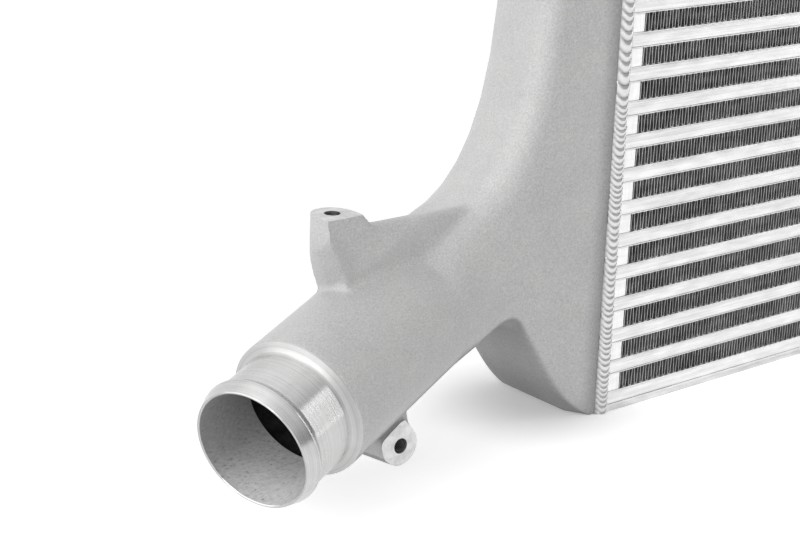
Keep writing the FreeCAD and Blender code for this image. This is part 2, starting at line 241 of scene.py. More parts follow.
def dimmed(tree, colour, level):
    """Colour made darker by a value."""
    node = add_node(tree, "ShaderNodeVectorMath", {"operation": "SCALE"}, {0: colour, "Scale": level})
    return node.outputs["Vector"]


def facing_up(tree):
    """How far the surface faces upwards, from minus one to one."""
    normal = add_node(tree, "ShaderNodeTexCoord").outputs["Normal"]
    return add_node(tree, "ShaderNodeSeparateXYZ", links={"Vector": normal}).outputs["Z"]


def along_axis(tree, vector, axis):
    """How far a vector reaches along an axis."""
    node = add_node(tree, "ShaderNodeVectorMath", {"operation": "DOT_PRODUCT"}, {0: vector, 1: axis})
    return node.outputs["Value"]


def bump(tree, shader, height, strength, distance):
    """Give a shader small hills and valleys."""
    node = add_node(tree, "ShaderNodeBump", links={"Height": height, "Strength": strength,
                                                   "Distance": distance})
    tree.links.new(node.outputs["Normal"], shader.inputs["Normal"])


print("helpers ready, materials so far", len(bpy.data.materials))

# %% [markdown]
# The tanks are sand or gravity cast in aluminium and blasted with fine beads. That gives a matt, slightly
# mottled grey that spreads reflections widely. A metal with high roughness does this. Grain of about 0.7 mm
# goes into the bump, and larger clouds of 25 mm into colour and roughness, because handling changes the
# skin of a casting. Small bright specks in the colour are painted glints. A band beside the weld bead is
# painted darker, as shade next to the raised bead, and what faces down is painted darker, as shade.

# %% Cast aluminium, bead blasted
CLOUDS_PER_METRE = 38.0
GLINT_SPECKS_PER_METRE = 520.0
GRAINS_PER_METRE = 1300.0
BEAD_SHADE_START = 0.263
BEAD_SHADE_END = 0.275


def cast_aluminium():
    material, tree, shader = new_finish("cast_aluminium_blasted")
    vector = object_place(tree)
    clouds = noise(tree, vector, CLOUDS_PER_METRE, 5.0, 0.6)
    grain = noise(tree, vector, GRAINS_PER_METRE, 3.0, 0.7)
    glint_specks = noise(tree, vector, GLINT_SPECKS_PER_METRE, 2.0)
    base = ramp(tree, clouds, [(0.3, "BEBEBE"), (0.7, "CDCDCC")])
    fine = ramp(tree, grain, [(0.3, "A8A8A8"), (0.72, "E4E4E4")])
    # Painted glints: small bright specks added to the colour.
    bright = ramp(tree, glint_specks, [(0.66, "000000"), (0.74, "303030")])
    colour = mixed_colour(tree, mixed_colour(tree, base, fine, 0.45), bright, 1.0, "ADD")
    # Painted shade: a darker band beside the raised weld bead.
    split = add_node(tree, "ShaderNodeSeparateXYZ", links={"Vector": vector})
    reach = math_node(tree, "ABSOLUTE", split.outputs["X"])
    bead_shade = mapped(tree, reach, 0.72, 1.0, BEAD_SHADE_START, BEAD_SHADE_END, soft=True)
    # Painted shade: faces that look down are darker.
    underside_shade = mapped(tree, facing_up(tree), 0.62, 1.0, -0.62, -0.4, soft=True)
    painted_shade = math_node(tree, "MULTIPLY", bead_shade, underside_shade)
    join(tree, dimmed(tree, colour, painted_shade), shader.inputs["Base Color"])
    join(tree, mapped(tree, clouds, 0.74, 0.86), shader.inputs["Roughness"])
    bump(tree, shader, grain, 0.35, 0.0004)
    shader.inputs["Metallic"].default_value = 1.0
    return material


CAST = cast_aluminium()
print(CAST.name, len(CAST.node_tree.nodes), "nodes")

# %% [markdown]
# The spigot is turned on a lathe, so its grooves run round its axis. Rings could come from a wave texture,
# but a lathe leaves them uneven. Here a noise reads only the distance along the axis, worked out with a dot
# product, which gives uneven rings. A lathe finish also stretches reflections, so the shader is
# anisotropic, and its tangent follows the axis. Each hand has its own axis and so its own material. The
# flare of the shoulder looks rougher in the photo, so it has a finish of its own.

# %% Turned aluminium
TURN = math.radians(18.9)
FALL = math.radians(13.4)
AXIS = Vector((math.cos(TURN) * math.cos(FALL), -math.sin(TURN) * math.cos(FALL), -math.sin(FALL)))
RINGS_PER_METRE = 1500.0
WIDE_RINGS_PER_METRE = 420.0


def turned_aluminium(name, side, roughness):
    material, tree, shader = new_finish(name)
    along = Vector((AXIS.x * side, AXIS.y, AXIS.z))
    coordinates = add_node(tree, "ShaderNodeTexCoord").outputs["Object"]
    distance = along_axis(tree, coordinates, along)
    vector = add_node(tree, "ShaderNodeCombineXYZ", links={"X": distance}).outputs["Vector"]
    rings = noise(tree, vector, RINGS_PER_METRE, 3.0, 0.7)
    wide = noise(tree, vector, WIDE_RINGS_PER_METRE, 2.0)
    cloud = noise(tree, coordinates, 90.0, 4.0)
    base = ramp(tree, cloud, [(0.3, "B8B8B7"), (0.7, "CACAC9")])
    lines = ramp(tree, rings, [(0.34, "949494"), (0.5, "CCCCCC"), (0.7, "ECECEC")])
    join(tree, mixed_colour(tree, base, lines, 0.4), shader.inputs["Base Color"])
    bump(tree, shader, math_node(tree, "ADD", rings, wide), 0.08, 0.0003)
    join(tree, mapped(tree, cloud, roughness, roughness + 0.14), shader.inputs["Roughness"])
    tangent = add_node(tree, "ShaderNodeCombineXYZ", links={"X": along.x, "Y": along.y, "Z": along.z})
    tree.links.new(tangent.outputs["Vector"], shader.inputs["Tangent"])
    shader.inputs["Anisotropic"].default_value = 0.65
    shader.inputs["Metallic"].default_value = 1.0
    return material


TURNED = {side: turned_aluminium("turned_aluminium_" + side, sign, 0.2) for side, sign in SIDES.items()}
SHOULDER = {side: turned_aluminium("turned_shoulder_" + side, sign, 0.42) for side, sign in SIDES.items()}
print("axis of the right-hand spigot", tuple(round(value, 4) for value in AXIS))

# %% [markdown]
# The bore is only roughly cleaned, so it is duller than the outside: a dull grey with dark pits and faint
# streaks that run along the pipe, from the core that formed it in the mould. A non-metal shows this better
# than a metal, which would mirror the dark inside. Only the lower wall, which faces up, keeps the full grey;
# every other wall is painted darker, as shade.

# %% Rough bore of the casting


def bored_casting():
    material, tree, shader = new_finish("bored_cast_aluminium")
    pits = noise(tree, object_place(tree, (420, 900, 900)), 1.0, 4.0, 0.7)
    base = ramp(tree, pits, [(0.3, "909090"), (0.39, "DEDEDE"), (0.7, "FCFCFC")])
    # Painted shade: walls that do not face up are darker.
    bore_painted_shade = mapped(tree, facing_up(tree), 0.6, 1.0, 0.4, 0.97, soft=True)
    join(tree, dimmed(tree, base, bore_painted_shade), shader.inputs["Base Color"])
    bump(tree, shader, pits, 0.5, 0.0005)
    shader.inputs["Roughness"].default_value = 0.5
    shader.inputs["Metallic"].default_value = 0.0
    return material


BORE = bored_casting()
print(BORE.name, len(BORE.node_tree.nodes), "nodes")

# %% [markdown]
# Bars and sheets are drawn and rolled, then etched bright before brazing. Fine lines run along them, about
# 0.4 mm apart, because the noise is stretched along X. Thin braze has flowed over them in soft patches, so
# the roughness changes along the bar. The same recipe, with other colours and lines, serves foil, milled
# faces and thread.

# %% Drawn and brazed aluminium
ALONG_BAR = (3, 900, 2400)


def drawn_aluminium(name, low, high, scale=ALONG_BAR, roughness=0.34):
    material, tree, shader = new_finish(name)
    lines = noise(tree, object_place(tree, scale), 1.0, 3.0, 0.65)
    braze = noise(tree, object_place(tree, (60, 120, 300)), 1.0, 4.0)
    height = math_node(tree, "MULTIPLY", math_node(tree, "ADD", lines, braze), 0.5)
    join(tree, ramp(tree, height, [(0.36, low), (0.62, high)]), shader.inputs["Base Color"])
    join(tree, mapped(tree, braze, roughness, roughness + 0.2), shader.inputs["Roughness"])
    bump(tree, shader, height, 0.4, 0.0004)
    shader.inputs["Metallic"].default_value = 1.0
    return material


BAR = drawn_aluminium("drawn_aluminium_bar", "DCDCDC", "FCFCFC")
SHORT = drawn_aluminium("drawn_aluminium_short_bar", "F0F0F0", "FFFFFF", (900, 900, 60), 0.45)
SHEET_FINISH = drawn_aluminium("rolled_sheet_edge", "DADADA", "F6F6F6")
PLATE = drawn_aluminium("rolled_side_plate", "C4C4C4", "ECECEC", (3, 260, 900))
FOIL = drawn_aluminium("folded_fin_foil", "A6A6A6", "D4D4D4", (700, 40, 60), 0.4)
MILLED = drawn_aluminium("milled_aluminium", "C6C6C6", "E6E6E6", (300, 300, 300), 0.3)
# Painted shade: the walls of the holes are dark grey.
HOLE_WALL_SHADE = drawn_aluminium("hole_wall_painted_shade", "343434", "565656", (500, 500, 900), 0.4)
# Painted highlight: the crests of the thread are light grey.
THREAD_CREST_HIGHLIGHT = drawn_aluminium("thread_crest_painted_highlight", "D0D0D0", "F4F4F4", (500, 500, 900), 0.3)
# Painted shade: the cavity deep inside the pipe is dark grey.
INNER_SKIN_SHADE = drawn_aluminium("inner_skin_painted_shade", "3A3A3A", "585858", (300, 300, 300), 0.7)
print("materials so far", len(bpy.data.materials))

# %% [markdown]
# A weld puddle freezes bright in its middle, and dull oxide gathers in the valley between two puddles. The
# valleys are also painted darker as shade. The mesh of the bead knows where its valleys are, so it carries
# that as an attribute called ripple, which the finish reads.

# %% Weld metal


def weld_aluminium():
    material, tree, shader = new_finish("weld_aluminium")
    ripple = add_node(tree, "ShaderNodeAttribute", {"attribute_name": "ripple"}).outputs["Fac"]
    cloud = noise(tree, object_place(tree), 600.0, 3.0)
    height = math_node(tree, "MULTIPLY_ADD", cloud, 0.3, ripple)
    # Darker in the valleys between puddles: oxide and painted shade.
    join(tree, ramp(tree, height, [(0.1, "868686"), (0.45, "BEBEBE"), (1.0, "DEDEDE")]),
         shader.inputs["Base Color"])
    shader.inputs["Roughness"].default_value = 0.26
    shader.inputs["Metallic"].default_value = 1.0
    return material


WELD = weld_aluminium()
print(WELD.name, len(WELD.node_tree.nodes), "nodes")

# %% [markdown]
# The finished faces of the two bosses are machined after casting. A raw casting has stock there, which is
# milled off. The soft skin is made the same way: each boss is first drawn longer than it ends up, so that
# the smoothing rounds only the stock, and the cut then leaves a flat face with a sharp edge.

# %% Stock on the bosses
UPPER_BOSS = Vector((150.0, -10.0, 119.5))
LOWER_BOSS = Vector((128.1, -34.5, 15.3))
UPPER_RADIUS = 9.5
LOWER_RADIUS = 9.4
LOWER_CORNERS = [(139.3, 18.8), (126.4, 27.7)]
ALLOWANCE = 4.0
ROOT = 4.0


def arc(centre, radius, angles):
    """Points of a circle at angles in degrees, as pairs."""
    turns = [math.radians(angle) for angle in angles]
    return [(centre[0] + radius * math.cos(turn), centre[1] + radius * math.sin(turn)) for turn in turns]


def upper_outline(height):
    """Square front and round back of the upper boss at a height."""
    back = arc((UPPER_BOSS.x, UPPER_BOSS.y), UPPER_RADIUS, range(0, 181, 15))
    front = UPPER_BOSS.y - UPPER_RADIUS
    corners = [(UPPER_BOSS.x - UPPER_RADIUS, front), (UPPER_BOSS.x + UPPER_RADIUS, front)]
    return [Vector((x, y, height)) for x, y in back + corners]


def lower_outline(depth):
    """Round foot and pointed top of the lower boss at a depth."""
    foot = arc((LOWER_BOSS.x, LOWER_BOSS.z), LOWER_RADIUS, range(-200, -29, 17))
    return [Vector((x, depth, z)) for x, z in foot + LOWER_CORNERS]


def stock(work, outline, run):
    """Stock on a boss: its outline carried past the finished face, which also closes the hole."""
    points = [work.verts.new(point) for point in outline]
    face = work.faces.new(points)
    made = bmesh.ops.extrude_face_region(work, geom=[face], use_keep_orig=True)["geom"]
    bmesh.ops.translate(work, vec=run, verts=[item for item in made if isinstance(item, bmesh.types.BMVert)])
    body = {link for point in points for link in point.link_faces}
    body |= {item for item in made if isinstance(item, bmesh.types.BMFace)}
    bmesh.ops.recalc_face_normals(work, faces=list(body))


print("points of the boss outlines", len(upper_outline(0)), len(lower_outline(0)))

# %% [markdown]
# In the photo a soft ridge runs from the upper boss down along the pipe and frames the thin web behind it.
# It is a few points joined by straight runs. Every vertex of the front is pulled forward by how near it is
# to that line: the ridge falls off quickly towards the web and slowly towards the pipe.

# %% Ridge round the web
RIDGE_LINE = [Vector(point) for point in (
    (158.5, -19.5, 110), (155.8, -19.2, 104.9), (151.1, -19.4, 98.8), (146, -19.5, 93.0),
    (130.6, -19.5, 99.3), (117, -19.5, 107.9), (108, -19.5, 113.5))]
RIDGE_START = 90.0
RIDGE_HEIGHT = 1.4
RIDGE_NARROW = 4.0
RIDGE_WIDE = 14.0
WEB_MIDDLE = Vector((130, -19.5, 112))


def nearest(point, start, end):
    """Point of a line segment that is nearest to a point."""
    run = end - start
    return start + run * max(0.0, min(1.0, (point - start).dot(run) / run.length_squared))


def raise_ridge(mesh):
    """Lift the front of the skin along the soft ridge. Directions are read before any vertex moves."""
    sideways = [vertex.normal.y for vertex in mesh.vertices]
    for vertex, facing in zip(mesh.vertices, sideways):
        if facing > 0 or vertex.co.x < RIDGE_START:
            continue
        feet = [nearest(vertex.co, *pair) for pair in zip(RIDGE_LINE, RIDGE_LINE[1:])]
        foot = min(feet, key=lambda point: (point - vertex.co).length)
        offset = vertex.co - foot
        width = RIDGE_NARROW if offset.dot(WEB_MIDDLE - foot) > 0 else RIDGE_WIDE
        vertex.co.y -= RIDGE_HEIGHT * math.exp(-(offset.length / width) ** 2)


print("ridge", round(sum((end - start).length for start, end in zip(RIDGE_LINE, RIDGE_LINE[1:]))), "mm long")

# %% [markdown]
# A casting has soft edges and wide fillets where forms meet. The solid has most of them sharp. Bevels would
# fail where so many edges meet, so a copy is remeshed in even small cells and smoothed, which rounds every
# edge a little. Vertex groups limit two more smoothings: one at the roots of the bosses, and a long one at
# the edge of the foot. The turned end is cut off, because the lathe gives it a form of its own.

# %% Copy, weights and smoothing
SMOOTH_SHARE = 0.5
FILLETS = [((152, -22, 92), (88, -24, 112), 15.0), ((112, -30, 28), (142, -30, 20), 8.0)]
FOOT_EDGE = [((60, -27, 60), (38, -27, 32), 22.0), ((38, -27, 32), (25, -27, 12), 18.0),
             ((25, -27, 12), (16, -27, 5), 10.0), ((60, -27, 56), (52, 26, 50), 18.0)]


def tank_copy(node):
    """Welded copy of a tank's solid, in millimetres from the core's right-hand end."""
    work = bmesh.new()
    work.from_mesh(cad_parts[node].data)
    bmesh.ops.remove_doubles(work, verts=work.verts, dist=1e-6)
    matrix = Matrix.Translation((-END, 0, 0)) @ Matrix.Diagonal((1000, 1000, 1000, 1))
    bmesh.ops.transform(work, matrix=matrix, verts=work.verts)
    return work


def weights(piece, name, lines):
    """Vertex group that fades out round line segments, given as (start, end, reach) in millimetres."""
    group = piece.vertex_groups.new(name=name)
    segments = [(Vector(start), Vector(end), reach) for start, end, reach in lines]
    for vertex in piece.data.vertices:
        best = max(1.0 - (vertex.co - nearest(vertex.co, start, end)).length / reach
                   for start, end, reach in segments)
        if best > 0:
            group.add([vertex.index], min(1.0, best * 2), "REPLACE")


def smooth(piece, name, passes, group=""):
    """Smoothing modifier, over the whole piece or by a vertex group."""
    modifier = piece.modifiers.new(name, "SMOOTH")
    modifier.factor = SMOOTH_SHARE
    modifier.iterations = passes
    modifier.vertex_group = group


print("weighted lines", len(FILLETS + FOOT_EDGE))

# %% [markdown]
# Now the skin itself: the copy gets its stock, is remeshed, smoothed three times and given its ridge. Cells
# of 1.5 mm keep the fillets round. The mouth of the pipe stays as a point, because the spigot is counted
# from it.

# %% Soft cast skin of a tank
MOUTH = Vector((214.2, -43.8, 37.5))
SPIGOT_CUT = 33.2
CELL = 1.5
EDGE_PASSES = 4
FILLET_PASSES = 4
FOOT_PASSES = 110


def cast_skin(node):
    """Right-hand tank in millimetres, with soft edges, without its turned end."""
    work = tank_copy(node)
    stock(work, upper_outline(UPPER_BOSS.z - ROOT), Vector((0, 0, ROOT + ALLOWANCE)))
    stock(work, lower_outline(LOWER_BOSS.y + ROOT), Vector((0, -ROOT - ALLOWANCE, 0)))
    piece = helper_object(to_mesh(work, "tank_remesh"))
    remesh = piece.modifiers.new("cells", "REMESH")
    remesh.mode = "VOXEL"
    remesh.voxel_size = CELL
    piece = helper_object(baked(piece, "tank_cells"))
    weights(piece, "fillets", FILLETS)
    weights(piece, "foot", FOOT_EDGE)
    smooth(piece, "edges", EDGE_PASSES)
    smooth(piece, "fillets", FILLET_PASSES, "fillets")
    smooth(piece, "foot", FOOT_PASSES, "foot")
    mesh = baked(piece, "tank_soft")
    raise_ridge(mesh)
    work = bmesh.new()
    work.from_mesh(mesh)
    bpy.data.meshes.remove(mesh)
    bmesh.ops.bisect_plane(work, geom=work.verts[:] + work.edges[:] + work.faces[:], dist=1e-5,
                           plane_co=MOUTH - AXIS * SPIGOT_CUT, plane_no=AXIS, clear_outer=True)
    return work


skin = cast_skin("right_end_tank")
print("cast skin", len(skin.faces))

# %% [markdown]
# Each boss is milled with a block and then drilled with one cutter: a chamfer at the mouth, a straight
# hole, and the cone of the drill's tip. Boolean modifiers take both out of the skin, in the order that a
# workshop works.

# %% Cutters of the bosses
HOLE_DEPTH = 14.0
DRILL_RADIUS = 2.9
DRILL_TIP = 1.6
CHAMFER_RADIUS = 3.6
CHAMFER_TOP = 0.1
CHAMFER_FOOT = 0.8
OVERRUN = 1.5
HOLE_STEPS = 32
MILL_WIDTH = 34
MILL_HEIGHT = 30
BOSSES = [(UPPER_BOSS, Vector((0, 0, 1))), (LOWER_BOSS, Vector((0, -1, 0)))]


def standing(mouth, out):
    """Matrix that stands a piece drawn along Z on a boss."""
    return Matrix.Translation(mouth) @ out.to_track_quat("Z", "Y").to_matrix().to_4x4()


def spun(profile, steps):
    """Body of revolution about Z from a line of (radius, height) points."""
    work = bmesh.new()
    points = [work.verts.new((radius, 0, height)) for radius, height in profile]
    edges = [work.edges.new(pair) for pair in zip(points, points[1:])]
    bmesh.ops.spin(work, geom=points + edges, angle=math.tau, steps=steps, axis=(0, 0, 1), cent=(0, 0, 0),
                   use_merge=True)
    bmesh.ops.remove_doubles(work, verts=work.verts, dist=1e-4)
    return work


def hole_cutter(mouth, out):
    """Drill with its chamfer and its tip."""
    profile = [(0.0, OVERRUN), (CHAMFER_RADIUS, OVERRUN), (CHAMFER_RADIUS, -CHAMFER_TOP),
               (DRILL_RADIUS, -CHAMFER_FOOT), (DRILL_RADIUS, -HOLE_DEPTH), (0.0, -HOLE_DEPTH - DRILL_TIP)]
    work = spun(profile, HOLE_STEPS)
    bmesh.ops.recalc_face_normals(work, faces=work.faces)
    bmesh.ops.transform(work, matrix=standing(mouth, out), verts=work.verts)
    return work


def facing_cutter(mouth, out):
    """Block that mills a boss down to its finished face."""
    work = bmesh.new()
    size = (MILL_WIDTH, MILL_HEIGHT, 2 * ALLOWANCE) if out.z else (MILL_WIDTH, 2 * ALLOWANCE, MILL_HEIGHT)
    matrix = Matrix.Translation(mouth + out * ALLOWANCE) @ Matrix.Diagonal((*size, 1))
    bmesh.ops.create_cube(work, size=1.0, matrix=matrix)
    return work


print("holes", len(BOSSES), "each", HOLE_DEPTH, "mm deep")

# %% [markdown]
# A boolean wants two objects. Both are helpers here, and the result is read back into one mesh. The exact
# solver is slower than the fast one, but it doesn't fail where a cutter's face lies in a face of the
# casting.

# %% Machined skin


def machine(work, cutter_work):
    """Take one cutter's volume out of the skin."""
    body = helper_object(to_mesh(work, "skin"))
    cutter = helper_object(to_mesh(cutter_work, "cutter"))
    cut = body.modifiers.new("cut", "BOOLEAN")
    cut.operation = "DIFFERENCE"
    cut.solver = "EXACT"
    cut.object = cutter
    mesh = baked(body, "machined")
    bpy.data.objects.remove(cutter)
    work = bmesh.new()
    work.from_mesh(mesh)
    bpy.data.meshes.remove(mesh)
    return work


for mouth, out in BOSSES:
    skin = machine(skin, facing_cutter(mouth, out))
    skin = machine(skin, hole_cutter(mouth, out))
print("machined skin", len(skin.faces))

# %% [markdown]
# One mesh can wear several finishes: each face holds the number of its material. The milled faces lie flat
# in the plane of a boss, the walls of a hole lie round its axis, and the cavity lies deep inside the pipe,
# where it is dark, so each is found by where it is. Hole walls and cavity are painted dark grey, as shade.

# %% Finishes by place
TANK_FINISHES = [CAST, MILLED, HOLE_WALL_SHADE, INNER_SKIN_SHADE]
FLATNESS = 0.03
FACE_REACH = 20
FACE_AGREES = 0.98
HOLE_REACH = 4.3
HOLE_LOW = -HOLE_DEPTH - 2
HOLE_HIGH = 0.1
CAVITY_DEPTH = 118.0
PIPE_INSIDE = 29.6
for mouth, out in BOSSES:
    for face in skin.faces:
        from_mouth = face.calc_center_median() - mouth
        height = from_mouth.dot(out)
        if abs(height) < FLATNESS and from_mouth.length < FACE_REACH and face.normal.dot(out) > FACE_AGREES:
            face.material_index = TANK_FINISHES.index(MILLED)
        elif from_mouth.cross(out).length < HOLE_REACH and HOLE_LOW < height < HOLE_HIGH:
            face.material_index = TANK_FINISHES.index(HOLE_WALL_SHADE)
for face in skin.faces:
    from_mouth = face.calc_center_median() - MOUTH
    if from_mouth.dot(AXIS) > -CAVITY_DEPTH and from_mouth.cross(AXIS).length < PIPE_INSIDE:
        face.material_index = TANK_FINISHES.index(INNER_SKIN_SHADE)
for index, finish in enumerate(TANK_FINISHES):
    print(finish.name, sum(face.material_index == index for face in skin.faces), "faces")

# %% [markdown]
# The thread is a ridge with slanted flanks and a narrow flat crest, swept up a helix. A spin with an offset
# for each step makes the whole helix in one call. The flanks wear the painted shade of the hole, and the
# crests a light grey that is a painted highlight.

# %% Threads of the bosses
THREAD_FINISHES = [HOLE_WALL_SHADE, THREAD_CREST_HIGHLIGHT]
THREAD_RADIUS = 3.0
THREAD_PITCH = 1.0
THREAD_START = -HOLE_DEPTH + 1.3
THREAD_PROFILE = [(0.05, 0.0), (-0.45, 0.35), (-0.45, 0.65), (0.05, THREAD_PITCH)]
CREST_DEPTH = 0.2
THREAD_TURNS = 11
CAST_SMOOTH_ANGLE = 40
TURN_STEPS = 20


def thread(work, mouth, out):
    """Helix of an internal thread, its crests pointing inwards."""
    fresh = bmesh.new()
    profile = [(THREAD_RADIUS + depth, 0, THREAD_START + rise) for depth, rise in THREAD_PROFILE]
    face = fresh.faces.new([fresh.verts.new(point) for point in profile])
    bmesh.ops.spin(fresh, geom=[face], angle=math.tau * THREAD_TURNS, steps=TURN_STEPS * THREAD_TURNS,
                   axis=(0, 0, 1), cent=(0, 0, 0), dvec=(0, 0, THREAD_PITCH / TURN_STEPS), use_merge=False)
    bmesh.ops.recalc_face_normals(fresh, faces=fresh.faces)
    for face in fresh.faces:
        # The crests take the painted highlight.
        if all(vertex.co.xy.length < THREAD_RADIUS - CREST_DEPTH for vertex in face.verts):
            face.material_index = THREAD_FINISHES.index(THREAD_CREST_HIGHLIGHT)
    bmesh.ops.transform(fresh, matrix=standing(mouth, out), verts=fresh.verts)
    mesh = to_mesh(fresh, "thread")
    work.from_mesh(mesh)
    bpy.data.meshes.remove(mesh)


for side, sign in SIDES.items():
    tank = skin.copy()
    place(tank, sign)
    mesh = to_mesh(tank, side + "_cast_tank")
    smooth_by_angle(mesh, CAST_SMOOTH_ANGLE)
    add_piece(side + "_cast_tank", mesh, TANK_FINISHES, [side + "_end_tank"])
    threads = bmesh.new()
    for mouth, out in BOSSES:
        thread(threads, mouth, out)
    place(threads, sign)
    add_piece(side + "_boss_threads", to_mesh(threads, side + "_boss_threads"), THREAD_FINISHES)
skin.free()

# %% [markdown]
# The spigot is a body of revolution, so it is drawn as a closed profile and spun round the axis of the
# pipe. The points go from the bore, round the mouth and over the hose bead, along the neck and up the
# hollow flare of the shoulder. Close pairs of points hold the corners sharp with the small radii that a
# cutting tool leaves.

# %% Turned spigots
SPIN_STEPS = 96
TURNED_SMOOTH_ANGLE = 30
BORE_REACH = 26.3
SHOULDER_START = -29.5
BORE_AND_LIP = [(34.6, 26.2), (0.9, 26.2), (0.35, 26.35), (0.0, 26.75), (0.0, 27.15), (0.25, 27.5)]
HOSE_BEAD = [(5.3, 29.27), (6.0, 29.44), (6.9, 29.44), (7.5, 29.27), (8.9, 28.25), (9.3, 28.02)]
NECK = [(10.2, 28.0), (29.2, 28.0)]
FLARE = [(30.0, 28.08), (30.8, 28.4), (31.5, 29.0), (32.1, 29.85), (32.6, 30.9), (32.9, 31.65), (33.1, 32.2),
         (33.6, 32.25), (34.6, 32.1)]


def spigot():
    """Right-hand spigot, from (distance behind the mouth, radius) points."""
    outline = BORE_AND_LIP + HOSE_BEAD + NECK + FLARE
    work = spun([(radius, -distance) for distance, radius in outline + outline[:1]], SPIN_STEPS)
    bmesh.ops.transform(work, matrix=standing(MOUTH, AXIS), verts=work.verts)
    bmesh.ops.recalc_face_normals(work, faces=work.faces)
    return work


for side, sign in SIDES.items():
    finishes = [TURNED[side], BORE, SHOULDER[side]]
    work = spigot()
    for face in work.faces:
        from_mouth = face.calc_center_median() - MOUTH
        if from_mouth.cross(AXIS).length < BORE_REACH:
            face.material_index = finishes.index(BORE)
        elif from_mouth.dot(AXIS) < SHOULDER_START:
            face.material_index = finishes.index(SHOULDER[side])
    place(work, sign)
    mesh = to_mesh(work, side + "_spigot")
    smooth_by_angle(mesh, TURNED_SMOOTH_ANGLE)
    add_piece(side + "_spigot", mesh, finishes)

# %% [markdown]
# The core is a stack that repeats: a charge passage, a sheet, an air passage, a sheet. A side plate closes
# it at the foot and at the top. The height of the whole core and the base of each row follow from these few
# sizes.

# %% Rows of the core
AIR_ROWS = 20
CHARGE_HEIGHT = 6.32
AIR_HEIGHT = 8.88
SHEET = 0.4
SIDE_PLATE = 3.4
CORE_DEPTH = 64.0
ROW_PITCH = CHARGE_HEIGHT + AIR_HEIGHT + 2 * SHEET
CORE_HEIGHT = 2 * SIDE_PLATE + AIR_ROWS * ROW_PITCH + CHARGE_HEIGHT + 2 * SHEET


def charge_base(row):
    return SIDE_PLATE + row * ROW_PITCH + SHEET


def air_base(row):
    return charge_base(row) + CHARGE_HEIGHT + SHEET


print("row pitch", ROW_PITCH, "core height", CORE_HEIGHT)

# %% [markdown]
# The weld runs up the front of the joint, over the top and down the back. The tank lies a little inside the
# faces of the core, so the bead slopes from the core down to the tank. A point on it is given by its path
# along the joint and its share across it.

# %% Path of a weld
WELD_HALF = 3.5
TANK_STEP = 1.5
BEAD_PROUD = 0.1
WELD_LENGTH = 2 * CORE_HEIGHT + CORE_DEPTH


def weld_point(path, across):
    """Place on the joint and outward direction, at a length along it and a share from -1 to 1 across it."""
    half_depth = CORE_DEPTH / 2
    rise = BEAD_PROUD - TANK_STEP * (1 + across) / 2
    outwards = across * WELD_HALF
    if path < CORE_HEIGHT:
        return Vector((outwards, -half_depth - rise, path)), Vector((0, -1, 0))
    if path < CORE_HEIGHT + CORE_DEPTH:
        return Vector((outwards, path - CORE_HEIGHT - half_depth, CORE_HEIGHT + rise)), Vector((0, 0, 1))
    return Vector((outwards, half_depth + rise, WELD_LENGTH - path)), Vector((0, 1, 0))


print("weld", round(WELD_LENGTH, 2), "mm long")

# %% [markdown]
# The weld was laid in small overlapping puddles, which leaves a stack of curved ripples. A bump map would
# stay flat in outline, so a grid is bent over the joint and its points are raised: high in the middle of
# the bead, with a scallop for each puddle. The puddles are small near the foot and larger above, and each
# differs a little in length, width and height, because a hand laid them.

# %% Puddles of a weld
RIPPLE_LOW = 3.0
RIPPLE_HIGH = 4.7
RIPPLE_CHANGE = 150.0
PITCH_WANDER = (0.78, 1.25)
PAST_END = 8.0
random.seed(7)


def puddle_starts():
    """Places along the weld where the puddles start."""
    starts = [-PAST_END]
    while starts[-1] < WELD_LENGTH + PAST_END:
        pitch = RIPPLE_LOW if starts[-1] < RIPPLE_CHANGE else RIPPLE_HIGH
        starts.append(starts[-1] + pitch * random.uniform(*PITCH_WANDER))
    return starts


print("puddles about", round(WELD_LENGTH / RIPPLE_HIGH))

# %% [markdown]
# The height of a point is its place on the round crown of the bead plus the hump of its puddle. Powers
# shape both: a small one makes the crown steep at its sides, a large one makes the puddle flat with a sharp
# valley. The line between two puddles bends like a smile, as the edge of the molten pool was round.

# %% Weld beads
WELD_RISE = 1.18
WELD_SINK = 0.2
CROWN_POWER = 0.6
SCALLOP = 0.68
SCALLOP_POWER = 2.5
SMILE = 2.6
WIDTH_WANDER = 0.09
HEIGHT_WANDER = 0.04
WELD_STEP = 0.4
WELD_ACROSS = 14


def weld_bead():
    """One rippled bead, with the height of its ripples as an attribute."""
    starts = puddle_starts()
    wander = [random.uniform(-1, 1) for _ in starts]
    work = bmesh.new()
    bmesh.ops.create_grid(work, x_segments=int(WELD_LENGTH / WELD_STEP), y_segments=WELD_ACROSS, size=1.0)
    ripple = work.verts.layers.float.new("ripple")
    for vertex in work.verts:
        path = (vertex.co.x + 1) / 2 * WELD_LENGTH
        across = vertex.co.y
        puddle = path - SMILE * across ** 2
        index = bisect.bisect(starts, puddle) - 1
        phase = (puddle - starts[index]) / (starts[index + 1] - starts[index])
        crown = WELD_RISE * (1 - across ** 2) ** CROWN_POWER
        scallop = (1 - abs(2 * phase - 1) ** SCALLOP_POWER) * (1 - across ** 4)
        width = 1 + WIDTH_WANDER * wander[index]
        foot, out = weld_point(path, across * width if abs(across) < 1 else across)
        vertex[ripple] = scallop
        height = crown * (1 + HEIGHT_WANDER * wander[index]) + SCALLOP * scallop - WELD_SINK
        vertex.co = foot + out * height
    work.normal_update()
    if min(work.faces, key=lambda face: face.calc_center_median().y).normal.y > 0:
        bmesh.ops.reverse_faces(work, faces=work.faces)
    return work


for side, sign in SIDES.items():
    work = weld_bead()
    place(work, sign)
    mesh = to_mesh(work, side + "_weld_bead")
    mesh.shade_smooth()
    add_piece(side + "_weld_bead", mesh, [WELD], [side + "_weld"])

